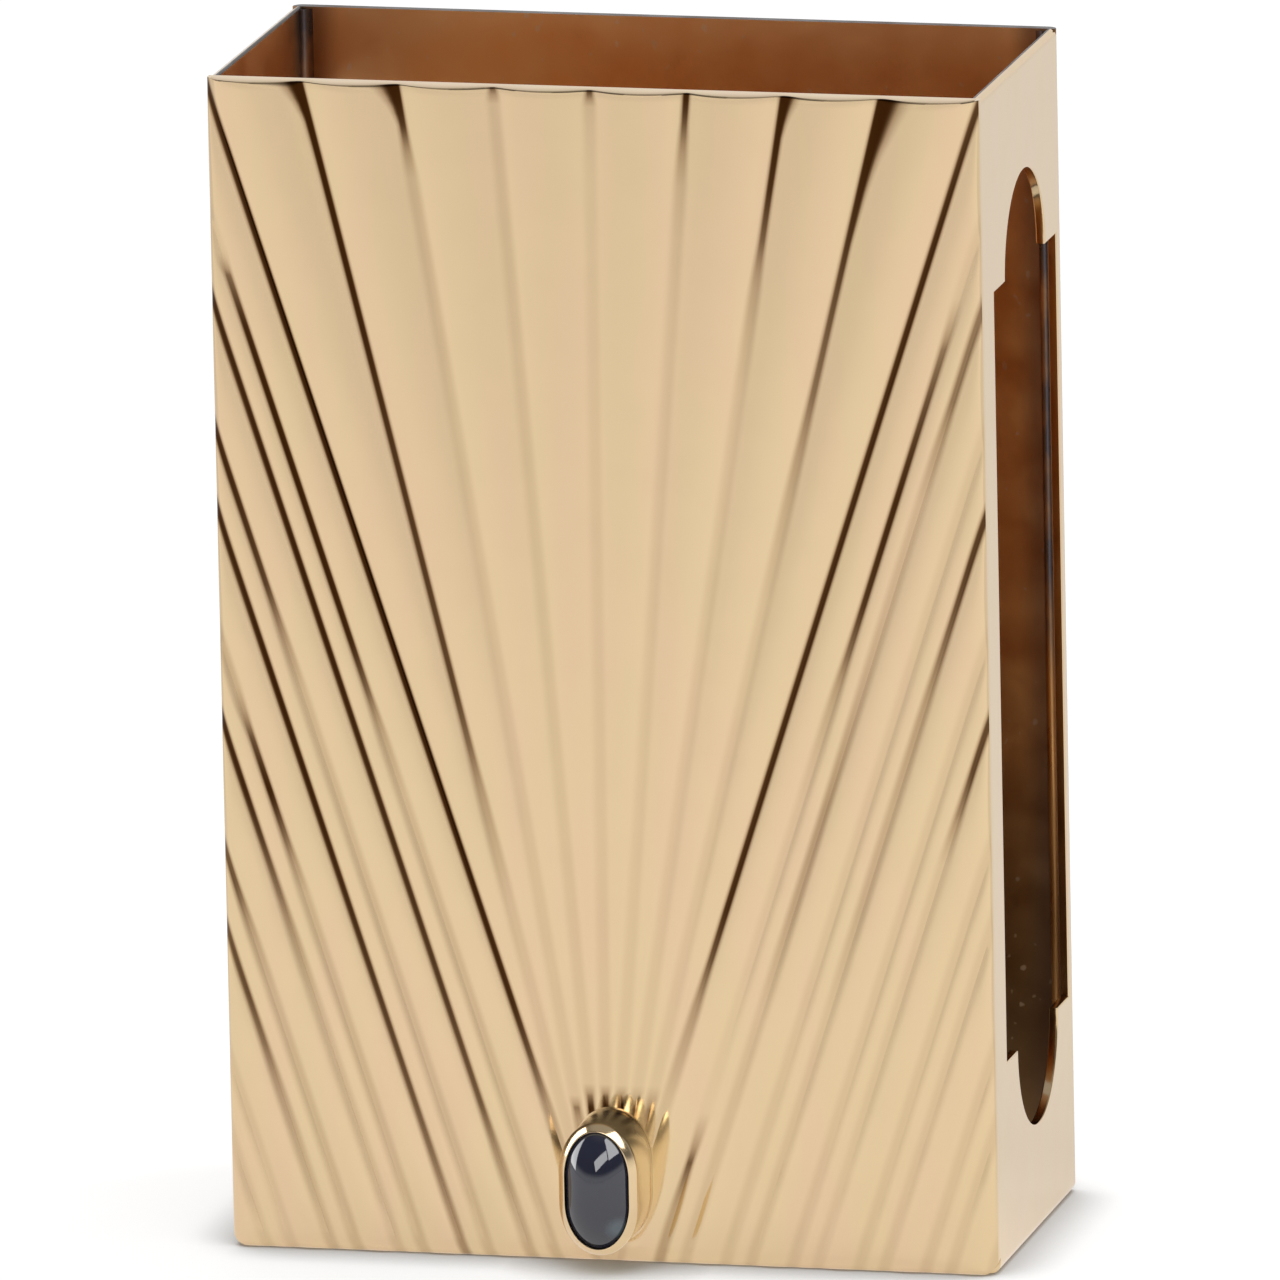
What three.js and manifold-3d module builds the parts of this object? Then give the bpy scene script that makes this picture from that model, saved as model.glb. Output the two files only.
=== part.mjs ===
// Match safe: an open gold sleeve, soldered from sheet, that holds a pocket box of matches.
// The front is reeded like a sunburst and carries a cabochon in a tall collet at its foot.
// Millimetres, Z up. The reeded front faces -Y. The origin is under the middle of the whole object.
import * as THREE from 'three';
import { mergeVertices } from 'three/addons/utils/BufferGeometryUtils.js';
import Module from 'manifold-3d';

const wasm = await Module();
wasm.setup();

// Sleeve
const sleeveWidth = 37.45;
const sleeveHeight = 57;
const sleeveDepth = 17.3; // from the valleys between the reeds to the back
const frontThickness = 0.7; // behind a valley
const backThickness = 0.5;
const sideThickness = 0.45;

// Foot: a rim that turns in under the walls, is rebated for them and stops the box of matches
const footHeight = 0.9; // where the walls and the back stand
const footRound = 0.9; // radius of the outer lower edges
const footLip = 2.4; // how far the rim reaches in from the outside
const rebateHeight = 0.3; // the ledge inside the walls stands this much higher
const rebateClearance = 0.05;

// Reeds: a fan of cones from one focus, and pairs of straight reeds along both flanks of the fan
const fanReeds = 8;
const fanReedWidth = 4.7; // at the top edge
const fanRise = 0.15; // height of a reed as a share of its width
const focusHeight = -1.35; // the fan's focus lies just below the foot
const flankPairs = 6; // on each side
const wideReedWidth = 2.02; // measured level, the one nearer the fan
const narrowReedWidth = 1.23;
const flankRise = 0.12;
const fanFacets = 10;
const flankFacets = 6;
const sideRound = 0.8; // the reeds round off over this width at the upright edges
const cornerRound = 0.35; // and the plate behind them over this depth
const reedRoot = 0.3; // how deep a reed is sunk into the plate behind it
const reedStart = 0.5; // where the fan's reeds begin above their focus

// Striker window in each side wall: a rectangle with a narrower round arch at each end
const windowFront = 2.75; // from the valleys
const windowBack = 1.15; // from the back
const windowShoulder = 9.8; // from the top and the foot of the sleeve
const archStep = 2.4; // the arch is this much narrower on each side
const archRise = 4.55;

// Collet, bearing and stone, all oval
const stoneWidth = 3.1;
const stoneHeight = 5.7;
const stoneStraight = 1.4; // straight part of the oval's long sides
const stoneCentre = 4.25; // above the foot
const stoneBase = 1.7; // levels from the valleys outward
const stoneGirdle = 2.4;
const stoneTop = 4;
const colletWall = 0.35;
const colletTop = 3.2;
const bearingWall = 0.5;
const settingClearance = 0.05;
const pocketClearance = 0.1;

// Planes that follow from these sizes
const halfWidth = sleeveWidth / 2;
const valleyY = (stoneTop - sleeveDepth) / 2;
const backY = valleyY + sleeveDepth;
const frontInnerY = valleyY + frontThickness;
const backInnerY = backY - backThickness;
const fanReach = sleeveHeight - focusHeight;
const flankSlope = (fanReedWidth * fanReeds / 2) / fanReach;
const crestRise = fanReedWidth * fanRise;
const windowFrontY = valleyY + windowFront;
const windowBackY = backY - windowBack;
const windowMiddleY = (windowFrontY + windowBackY) / 2;
const archRadius = (windowBackY - windowFrontY) / 2 - archStep;
const overrun = 2; // how far a cutter or an envelope runs past what it trims
const sliver = 0.004; // slivers that the cuts leave are dropped below this

const gold = new THREE.MeshStandardMaterial({ color: 0xdfc28f, metalness: 1, roughness: 0.14 });
const innerGold = new THREE.MeshStandardMaterial({ color: 0xd2a869, metalness: 1, roughness: 0.3 });
const sapphire = new THREE.MeshStandardMaterial({ color: 0x1b2440, metalness: 0, roughness: 0.05 });

// A closed geometry as a solid that can be joined and cut
function solidOf(geometry) {
  const bare = geometry.index ? geometry.toNonIndexed() : geometry.clone();
  bare.deleteAttribute('normal');
  bare.deleteAttribute('uv');
  const merged = mergeVertices(bare, 1e-5);
  const mesh = new wasm.Mesh({
    numProp: 3,
    vertProperties: new Float32Array(merged.attributes.position.array),
    triVerts: new Uint32Array(merged.index.array),
  });
  return new wasm.Manifold(mesh);
}

// A solid as a geometry for a mesh
function geometryOf(solid) {
  const mesh = solid.getMesh();
  const geometry = new THREE.BufferGeometry();
  geometry.setAttribute('position', new THREE.BufferAttribute(mesh.vertProperties.slice(), 3));
  geometry.setIndex(new THREE.BufferAttribute(mesh.triVerts.slice(), 1));
  geometry.computeVertexNormals();
  return geometry;
}

function block(xFrom, xTo, yFrom, yTo, zFrom, zTo) {
  const geometry = new THREE.BoxGeometry(xTo - xFrom, yTo - yFrom, zTo - zFrom);
  geometry.translate((xFrom + xTo) / 2, (yFrom + yTo) / 2, (zFrom + zTo) / 2);
  return geometry;
}

// An outline drawn in X and Z, extruded from one Y to another
function alongY(shape, yFrom, yTo, curveSegments) {
  const options = { depth: yTo - yFrom, bevelEnabled: false, curveSegments };
  const geometry = new THREE.ExtrudeGeometry(shape, options);
  geometry.rotateX(Math.PI / 2);
  geometry.translate(0, yTo, 0);
  return geometry;
}

// An outline drawn in Y and Z, extruded from one X to another
function alongX(shape, xFrom, xTo, curveSegments) {
  const options = { depth: xTo - xFrom, bevelEnabled: false, curveSegments };
  const geometry = new THREE.ExtrudeGeometry(shape, options);
  geometry.rotateX(Math.PI / 2);
  geometry.rotateZ(Math.PI / 2);
  geometry.translate(xFrom, 0, 0);
  return geometry;
}

// The sleeve's outline seen from the front: square at the top, rounded at the foot
function frontOutline() {
  const shape = new THREE.Shape();
  shape.moveTo(-halfWidth, sleeveHeight);
  shape.lineTo(-halfWidth, footRound);
  shape.absarc(-halfWidth + footRound, footRound, footRound, Math.PI, 1.5 * Math.PI, false);
  shape.lineTo(halfWidth - footRound, 0);
  shape.absarc(halfWidth - footRound, footRound, footRound, 1.5 * Math.PI, 2 * Math.PI, false);
  shape.lineTo(halfWidth, sleeveHeight);
  return shape;
}

// The front panel's outline seen from the side: the reeds and the plate round off at the foot
function panelOutline() {
  const shape = new THREE.Shape();
  shape.moveTo(frontInnerY, 0);
  shape.lineTo(frontInnerY, sleeveHeight);
  shape.lineTo(valleyY - crestRise, sleeveHeight);
  const start = valleyY + cornerRound;
  const reach = crestRise + cornerRound;
  shape.absellipse(start, footRound, reach, footRound, Math.PI, 1.5 * Math.PI, false);
  return shape;
}

// The foot rim's outline seen from the side: rounded at the back only
function footOutline() {
  const shape = new THREE.Shape();
  shape.moveTo(frontInnerY, footHeight);
  shape.lineTo(frontInnerY, 0);
  shape.lineTo(backY - footRound, 0);
  shape.absarc(backY - footRound, footRound, footRound, 1.5 * Math.PI, 2 * Math.PI, false);
  shape.lineTo(backY, footHeight);
  return shape;
}

// The panel's outline seen from above: the reeds and the plate round off at the upright edges
function planOutline() {
  const shape = new THREE.Shape();
  const middle = halfWidth - sideRound;
  const start = valleyY + cornerRound;
  const reach = crestRise + cornerRound;
  shape.moveTo(halfWidth, frontInnerY);
  shape.lineTo(-halfWidth, frontInnerY);
  shape.absellipse(-middle, start, sideRound, reach, Math.PI, 1.5 * Math.PI, false);
  shape.absellipse(middle, start, sideRound, reach, 1.5 * Math.PI, 2 * Math.PI, false);
  return shape;
}

// One straight reed standing up from its own foot at zero: a round arc over a sunk root
function straightReed(xFrom, width, rise, length, facets) {
  const radius = (width * width / 4 + rise * rise) / (2 * rise);
  const middle = xFrom + width / 2;
  const spread = Math.atan2(radius - rise, width / 2);
  const shape = new THREE.Shape();
  shape.moveTo(xFrom, reedRoot);
  shape.lineTo(xFrom, 0);
  shape.absarc(middle, radius - rise, radius, spread - Math.PI, -spread, false);
  shape.lineTo(xFrom + width, reedRoot);
  const options = { depth: length, bevelEnabled: false, curveSegments: facets };
  return new THREE.ExtrudeGeometry(shape, options);
}

// A reed of the fan: it narrows to nothing at the focus, in width and in height alike
function fanReed(index) {
  const xFrom = (index - fanReeds / 2) * fanReedWidth;
  const length = fanReach + overrun - reedStart;
  const geometry = straightReed(xFrom, fanReedWidth, crestRise, length, fanFacets);
  geometry.translate(0, 0, reedStart);
  const points = geometry.attributes.position;
  for (let i = 0; i < points.count; i += 1) {
    const share = points.getZ(i) / fanReach;
    points.setX(i, points.getX(i) * share);
    points.setY(i, points.getY(i) * share);
  }
  geometry.translate(0, valleyY, focusHeight);
  return geometry;
}

// A reed of a flank: it keeps its width and leans out with the fan's edge
function flankReed(inner, width, side) {
  const xFrom = side > 0 ? inner : -inner - width;
  const geometry = straightReed(xFrom, width, width * flankRise, fanReach + overrun, flankFacets);
  geometry.applyMatrix4(new THREE.Matrix4().makeShear(0, 0, 0, 0, side * flankSlope, 0));
  geometry.translate(0, valleyY, focusHeight);
  return geometry;
}

// Two half ellipses joined by short straight sides
function ovalShape(width, height) {
  const endRise = (height - stoneStraight) / 2;
  const upper = stoneCentre + stoneStraight / 2;
  const lower = stoneCentre - stoneStraight / 2;
  const shape = new THREE.Shape();
  shape.absellipse(0, upper, width / 2, endRise, 0, Math.PI, false);
  shape.absellipse(0, lower, width / 2, endRise, Math.PI, 2 * Math.PI, false);
  return shape;
}

function ovalRing(width, height, wall, top) {
  const shape = ovalShape(width, height);
  shape.holes.push(ovalShape(width - 2 * wall, height - 2 * wall));
  return alongY(shape, valleyY - top, valleyY, 20);
}

function frontPanel() {
  let panel = solidOf(block(-halfWidth, halfWidth, valleyY, frontInnerY, 0, sleeveHeight));
  for (let i = 0; i < fanReeds; i += 1) {
    panel = panel.add(solidOf(fanReed(i)));
  }
  for (let i = 0; i < flankPairs; i += 1) {
    const inner = i * (wideReedWidth + narrowReedWidth);
    for (const side of [-1, 1]) {
      panel = panel.add(solidOf(flankReed(inner, wideReedWidth, side)));
      panel = panel.add(solidOf(flankReed(inner + wideReedWidth, narrowReedWidth, side)));
    }
  }
  const trimY = valleyY - crestRise - overrun;
  panel = panel.intersect(solidOf(alongY(frontOutline(), trimY, frontInnerY, 5)));
  panel = panel.intersect(solidOf(alongX(panelOutline(), -halfWidth, halfWidth, 5)));
  const upright = { depth: sleeveHeight, bevelEnabled: false, curveSegments: 6 };
  panel = panel.intersect(solidOf(new THREE.ExtrudeGeometry(planOutline(), upright)));
  const spare = 2 * (colletWall + settingClearance + pocketClearance);
  const pocket = ovalShape(stoneWidth + spare, stoneHeight + spare);
  panel = panel.subtract(solidOf(alongY(pocket, trimY, valleyY, 16)));
  return geometryOf(panel.asOriginal().simplify(sliver));
}

function backPanel() {
  return block(-halfWidth, halfWidth, backInnerY, backY, footHeight, sleeveHeight);
}

// The rectangle and the arch at each of its ends, drawn in Y and Z
function windowShape() {
  const low = windowShoulder;
  const high = sleeveHeight - windowShoulder;
  const shape = new THREE.Shape();
  shape.moveTo(windowFrontY, low);
  shape.lineTo(windowMiddleY - archRadius, low);
  shape.absellipse(windowMiddleY, low, archRadius, archRise, Math.PI, 2 * Math.PI, false);
  shape.lineTo(windowBackY, low);
  shape.lineTo(windowBackY, high);
  shape.lineTo(windowMiddleY + archRadius, high);
  shape.absellipse(windowMiddleY, high, archRadius, archRise, 0, Math.PI, false);
  shape.lineTo(windowFrontY, high);
  return shape;
}

function sideWall(side) {
  const outer = side * halfWidth;
  const inner = side * (halfWidth - sideThickness);
  const xFrom = Math.min(outer, inner);
  const xTo = Math.max(outer, inner);
  const wall = solidOf(block(xFrom, xTo, frontInnerY, backInnerY, footHeight, sleeveHeight));
  const cutter = solidOf(alongX(windowShape(), xFrom - overrun, xTo + overrun, 16));
  return geometryOf(wall.subtract(cutter));
}

function footRim() {
  let rim = solidOf(alongX(footOutline(), -halfWidth, halfWidth, 5));
  rim = rim.intersect(solidOf(alongY(frontOutline(), frontInnerY, backY, 5)));
  const ledgeX = halfWidth - sideThickness - rebateClearance;
  const ledgeFront = frontInnerY + rebateClearance;
  const ledgeBack = backInnerY - rebateClearance;
  const ledgeTop = footHeight + rebateHeight;
  const ledge = block(-ledgeX, ledgeX, ledgeFront, ledgeBack, footHeight / 2, ledgeTop);
  rim = rim.add(solidOf(ledge));
  const openX = halfWidth - footLip;
  const openFront = valleyY + footLip;
  const openBack = backY - footLip;
  const opening = block(-openX, openX, openFront, openBack, -overrun, ledgeTop + overrun);
  return geometryOf(rim.subtract(solidOf(opening)));
}

function collet() {
  const spare = 2 * (colletWall + settingClearance);
  return ovalRing(stoneWidth + spare, stoneHeight + spare, colletWall, colletTop);
}

function bearing() {
  return ovalRing(stoneWidth, stoneHeight, bearingWall, stoneBase);
}

// A flat base, an upright girdle and a dome, turned round and then drawn out to the oval
function cabochon() {
  const domeRise = stoneTop - stoneGirdle;
  const profile = [new THREE.Vector2(0, stoneBase), new THREE.Vector2(1, stoneBase)];
  const domeSteps = 10;
  for (let i = 0; i <= domeSteps; i += 1) {
    const angle = (i / domeSteps) * (Math.PI / 2);
    const level = stoneGirdle + domeRise * Math.sin(angle);
    profile.push(new THREE.Vector2(i === domeSteps ? 0 : Math.cos(angle), level));
  }
  const geometry = new THREE.LatheGeometry(profile, 40);
  const points = geometry.attributes.position;
  const endRise = (stoneHeight - stoneStraight) / 2;
  for (let i = 0; i < points.count; i += 1) {
    const across = points.getX(i);
    const along = points.getZ(i);
    const spread = Math.hypot(across, along) * stoneStraight / 2;
    const end = Math.abs(along) < 1e-6 ? 0 : Math.sign(along);
    points.setX(i, across * stoneWidth / 2);
    points.setZ(i, along * endRise + end * spread);
  }
  geometry.rotateX(Math.PI);
  geometry.translate(0, valleyY, stoneCentre);
  return geometry;
}

function piece(name, geometry, material) {
  const mesh = new THREE.Mesh(geometry, material);
  mesh.name = name;
  return mesh;
}

const sleeve = new THREE.Group();
sleeve.add(piece('front_panel', frontPanel(), gold));
sleeve.add(piece('back_panel', backPanel(), innerGold));
sleeve.add(piece('left_wall', sideWall(-1), innerGold));
sleeve.add(piece('right_wall', sideWall(1), innerGold));
sleeve.add(piece('foot_rim', footRim(), gold));

const setting = new THREE.Group();
setting.add(piece('collet', collet(), gold));
setting.add(piece('stone_bearing', bearing(), gold));
setting.add(piece('cabochon', cabochon(), sapphire));

const matchSafe = new THREE.Group();
matchSafe.add(sleeve, setting);

export default matchSafe;
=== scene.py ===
import bpy
import bmesh
import math
from mathutils import Matrix, Quaternion, Vector


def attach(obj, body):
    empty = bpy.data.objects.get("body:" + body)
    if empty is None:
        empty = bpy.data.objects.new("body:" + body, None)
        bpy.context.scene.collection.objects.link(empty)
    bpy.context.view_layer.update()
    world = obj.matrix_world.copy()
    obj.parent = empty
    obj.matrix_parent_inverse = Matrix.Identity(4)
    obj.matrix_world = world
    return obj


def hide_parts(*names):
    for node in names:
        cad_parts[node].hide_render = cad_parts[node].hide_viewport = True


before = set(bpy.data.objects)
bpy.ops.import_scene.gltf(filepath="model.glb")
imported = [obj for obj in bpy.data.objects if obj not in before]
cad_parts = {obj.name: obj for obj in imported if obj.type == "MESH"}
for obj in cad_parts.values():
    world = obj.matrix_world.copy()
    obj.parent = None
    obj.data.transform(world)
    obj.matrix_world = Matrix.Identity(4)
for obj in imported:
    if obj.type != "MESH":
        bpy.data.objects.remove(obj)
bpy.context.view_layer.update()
mm = 0.001
# points this near are merged, and cuts snap this near, in metres
weldGap, rowGap, cutGap = 1e-7, 1e-6, 1e-8
# points and edges are picked within these, in millimetres, and faces by the share of their normal
slack, fineSlack, facing = 0.01, 0.001, 0.99
scene = bpy.context.scene
scene.view_settings.view_transform = "Standard"
print("frame loaded:", len(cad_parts), "nodes")

# sizes of the sleeve that several pieces share, in millimetres
sleeve = {
    "halfWidth": 18.725, "height": 57.0, "valley": -6.65, "back": 10.65,
    "frontInner": -5.95, "backInner": 10.15, "sideSheet": 0.45, "footHeight": 0.9, "footRound": 0.9,
}


def point(x, y, z):
    return Vector((x * mm, y * mm, z * mm))


def restart():
    if bpy.context.mode != "OBJECT":
        bpy.ops.object.mode_set(mode="OBJECT")
    bpy.ops.object.select_all(action="DESELECT")


def activate(piece):
    restart()
    bpy.context.view_layer.objects.active = piece
    piece.select_set(True)


def openMesh(piece):
    activate(piece)
    bpy.ops.object.mode_set(mode="EDIT")


def closeMesh():
    bpy.ops.object.mode_set(mode="OBJECT")


def selectAll():
    bpy.ops.mesh.select_all(action="SELECT")


# selects what passes the test, in the mesh that is open
def pick(piece, kind, test):
    bpy.ops.mesh.select_mode(type=kind)
    bpy.ops.mesh.select_all(action="DESELECT")
    mesh = bmesh.from_edit_mesh(piece.data)
    mesh.normal_update()
    found = {"VERT": mesh.verts, "EDGE": mesh.edges, "FACE": mesh.faces}[kind]
    count = 0
    for part in found:
        if test(part):
            part.select_set(True)
            count += 1
    mesh.select_flush_mode()
    bmesh.update_edit_mesh(piece.data)
    return count


# these work on what is selected, with lengths in millimetres
def moveBy(x, y, z):
    bpy.ops.transform.translate(value=point(x, y, z))


def resizeAbout(centre, x, y, z):
    bpy.ops.transform.resize(value=(x, y, z), center_override=centre)


def extrudeEdges(x=0, y=0, z=0):
    bpy.ops.mesh.extrude_edges_move(TRANSFORM_OT_translate={"value": point(x, y, z)})


def extrudeFaces(x=0, y=0, z=0):
    bpy.ops.mesh.extrude_region_move(TRANSFORM_OT_translate={"value": point(x, y, z)})


def bevelEdges(size, steps, clamp=True):
    bpy.ops.mesh.bevel(offset=size * mm, segments=steps, affect="EDGES", clamp_overlap=clamp)


# these work on all of the mesh that is open
def weld(gap):
    selectAll()
    bpy.ops.mesh.remove_doubles(threshold=gap)


def faceOutwards():
    selectAll()
    bpy.ops.mesh.normals_make_consistent(inside=False)


def bisect(where, normal, drop=False):
    selectAll()
    bpy.ops.mesh.bisect(plane_co=where, plane_no=normal, clear_outer=drop, threshold=cutGap)


def applyModifier(piece, name):
    activate(piece)
    bpy.ops.object.modifier_apply(modifier=name)


def applyTransform():
    bpy.ops.object.transform_apply(location=True, rotation=True, scale=True)


def addBlock(name, low, high):
    restart()
    bpy.ops.mesh.primitive_cube_add(size=1, location=(low + high) / 2)
    piece = bpy.context.object
    piece.name = name
    piece.scale = high - low
    applyTransform()
    return piece


# joins the other piece on, or cuts it away
def combine(piece, other, operation):
    modifier = piece.modifiers.new("combine", "BOOLEAN")
    modifier.operation = operation
    modifier.solver = "EXACT"
    modifier.object = other
    applyModifier(piece, "combine")
    restart()
    other.select_set(True)
    bpy.ops.object.delete()


def cutAway(piece, cutter):
    combine(piece, cutter, "DIFFERENCE")


def joinPieces(pieces):
    restart()
    for piece in pieces:
        piece.select_set(True)
    bpy.context.view_layer.objects.active = pieces[0]
    bpy.ops.object.join()
    return pieces[0]


def tidyMesh(piece, angle):
    openMesh(piece)
    weld(weldGap)
    bpy.ops.mesh.delete_loose()
    faceOutwards()
    closeMesh()
    activate(piece)
    bpy.ops.object.shade_smooth_by_angle(angle=math.radians(angle))


# keeps flat faces flat in shading beside their eased edges
def flattenShading(piece):
    modifier = piece.modifiers.new("flat", "WEIGHTED_NORMAL")
    modifier.keep_sharp = True
    applyModifier(piece, "flat")


def finishPiece(piece, node, materials, whichMaterial=None):
    piece.data.materials.clear()
    for material in materials:
        piece.data.materials.append(material)
    if whichMaterial:
        for face in piece.data.polygons:
            face.material_index = whichMaterial(face)
    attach(piece, "root")
    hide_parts(node)
    print("made", piece.name, len(piece.data.polygons), "faces")


# camera at the photograph's angle, in degrees and millimetres
view = {
    "yaw": 13.784, "pitch": 13.042, "roll": -1.149, "distance": 1347.7,
    "lens": 795.52, "sensor": 36, "target": (-0.187, 1.805, 28.423),
}


def placeCamera():
    camera = bpy.data.objects.new("camera", bpy.data.cameras.new("camera"))
    scene.collection.objects.link(camera)
    scene.camera = camera
    yaw, pitch, roll = (math.radians(view[k]) for k in ("yaw", "pitch", "roll"))
    level = math.cos(pitch)
    back = Vector((math.sin(yaw) * level, -math.cos(yaw) * level, math.sin(pitch)))
    right = Vector((math.cos(yaw), math.sin(yaw), 0))
    up = back.cross(right)
    turnedRight = math.cos(roll) * right + math.sin(roll) * up
    turnedUp = math.cos(roll) * up - math.sin(roll) * right
    turn = Matrix((turnedRight, turnedUp, back)).transposed().to_4x4()
    turn.translation = point(*view["target"]) + back * view["distance"] * mm
    camera.matrix_world = turn
    camera.data.lens = view["lens"]
    camera.data.sensor_width = view["sensor"]


placeCamera()
print("camera placed")

# reeded front: a fan from one focus, and pairs of leaning reeds on both flanks
reeding = {
    "fanCount": 8, "fanWidth": 4.7, "fanRise": 0.15, "fanSteps": 32, "focus": -1.35,
    "pairCount": 6, "wideWidth": 2.02, "narrowWidth": 1.23, "flankRise": 0.12, "flankSteps": 12,
    "overrun": 1.0, "lowEnd": -0.3, "tilt": 0.28,
    "fanValleyRound": 0.7, "smoothing": 10, "keptSharp": 1.0,
    "softValleyRound": 0.12, "valleySegments": 4,
    "cornerCuts": 5, "cornerTurn": 15, "sideRound": 0.8, "cornerRound": 0.35, "edgeRound": 0.08,
    "roundSteps": 9, "rowPitch": 2.5, "rowCount": 22,
    "topRows": (0.4, 0.8, 1.4), "extraRows": (8.1, 8.7), "smoothAngle": 30,
    # heights, and the share of the reeds' relief that is left there
    "runOut": [
        (2.5, 0.22), (5.0, 0.22), (7.5, 0.22), (8.1, 0.24), (8.7, 0.27), (10.0, 0.36),
        (12.5, 0.52), (15.0, 0.7), (17.5, 0.82), (20.0, 0.92),
    ],
    "rightRunOut": [
        (2.5, 0.5), (5.0, 0.35), (7.5, 0.35), (8.1, 0.4), (8.7, 0.45), (10.0, 0.65), (12.5, 0.9),
    ],
    "runOutMargin": 0.05,
    "pocket": {
        "width": 4.1, "height": 6.7, "straight": 1.4, "centre": 4.25, "points": 64,
        "floor": 0.02, "depth": 2,
    },
}


# one round arc just above the top edge, spun from its first point
def reedArc(name, xFrom, width, rise, steps):
    radius = (width * width / 4 + rise * rise) / (2 * rise)
    spread = 2 * math.atan2(width / 2, radius - rise)
    level = sleeve["height"] + reeding["overrun"]
    centre = point(xFrom + width / 2, sleeve["valley"] + radius - rise, level)
    restart()
    bpy.ops.mesh.primitive_plane_add(size=mm, location=(0, 0, 0))
    arc = bpy.context.object
    arc.name = name
    openMesh(arc)
    selectAll()
    bpy.ops.mesh.merge(type="CENTER")
    moveBy(xFrom, sleeve["valley"], level)
    bpy.ops.mesh.spin(steps=steps, angle=-spread, center=centre, axis=(0, 0, 1))
    closeMesh()
    return arc


def repeatAcross(row, pitch, count):
    repeat = row.modifiers.new("repeat", "ARRAY")
    repeat.count = count
    repeat.use_relative_offset = False
    repeat.use_constant_offset = True
    repeat.constant_offset_displace = point(pitch, 0, 0)
    repeat.use_merge_vertices = True
    repeat.merge_threshold = rowGap
    applyModifier(row, "repeat")


# rounds the valleys of a row of arcs, where the test on X says so
def roundValleys(row, radius, test):
    lowest = (sleeve["valley"] - fineSlack) * mm
    openMesh(row)
    weld(rowGap)
    isValley = lambda v: len(v.link_edges) == 2 and v.co.y > lowest and test(v.co.x / mm)
    count = pick(row, "VERT", isValley)
    segments = reeding["valleySegments"]
    bpy.ops.mesh.bevel(offset=radius * mm, segments=segments, affect="VERTICES")
    closeMesh()
    print(row.name, "valleys rounded:", count)


# width of one reed of the fan where the arcs are drawn
def fanPitch():
    return reeding["fanWidth"] * (1 + reeding["overrun"] / (sleeve["height"] - reeding["focus"]))


# half the width of the fan at a height
def fanEdge(level):
    reach = sleeve["height"] + reeding["overrun"] - reeding["focus"]
    lean = fanPitch() * reeding["fanCount"] / 2 / reach
    return lean * (level - reeding["focus"])


# how far the pattern has leaned aside at a height
def leanAside(level):
    return (sleeve["height"] - level) * math.tan(math.radians(reeding["tilt"]))


# softens the valleys of the fan, all but its two outer lines
def softenValleys(row):
    pitch, reach = fanPitch(), reeding["fanValleyRound"]
    edge = pitch * reeding["fanCount"] / 2 - reeding["keptSharp"]
    openMesh(row)
    weld(rowGap)
    isNear = lambda x: abs(x) < edge and abs(x - pitch * round(x / pitch)) < reach
    count = pick(row, "VERT", lambda v: isNear(v.co.x / mm))
    bpy.ops.mesh.vertices_smooth(
        factor=0.5, repeat=reeding["smoothing"], xaxis=False, yaxis=True, zaxis=False)
    closeMesh()
    print(row.name, "points softened:", count)


def roundRows():
    steps = reeding["roundSteps"]
    return [1 - math.cos(math.radians(90 * i / steps)) for i in range(1, steps + 1)]


# rolls the surface off towards an edge, row by row, with the distance from the edge by depthOf
def rollOff(piece, radius, depthOf, move):
    rowOf = lambda v: round(depthOf(v.co) / mm, 4)
    mesh = bmesh.from_edit_mesh(piece.data)
    for row in sorted({rowOf(v) for v in mesh.verts}):
        if row < radius:
            turn = math.acos(1 - max(row, 0) / radius)
            pick(piece, "VERT", lambda v: rowOf(v) == row)
            move(math.sin(turn))


# an upright oval outline with straight sides, facing the front
def makeOval(name, size, y):
    restart()
    count = size["points"]
    bpy.ops.mesh.primitive_circle_add(
        vertices=count, radius=1, location=(0, 0, 0), rotation=(math.pi / 2, 0, 0))
    oval = bpy.context.object
    oval.name = name
    oval.rotation_euler[1] = math.pi / count
    applyTransform()
    openMesh(oval)
    selectAll()
    across, along = size["width"] / 2, (size["height"] - size["straight"]) / 2
    resizeAbout((0, 0, 0), across * mm, 1, along * mm)
    for side in (-1, 1):
        pick(oval, "VERT", lambda v: v.co.z * side > 0)
        moveBy(0, 0, side * size["straight"] / 2)
    selectAll()
    moveBy(0, y, size["centre"])
    closeMesh()
    return oval


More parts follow.
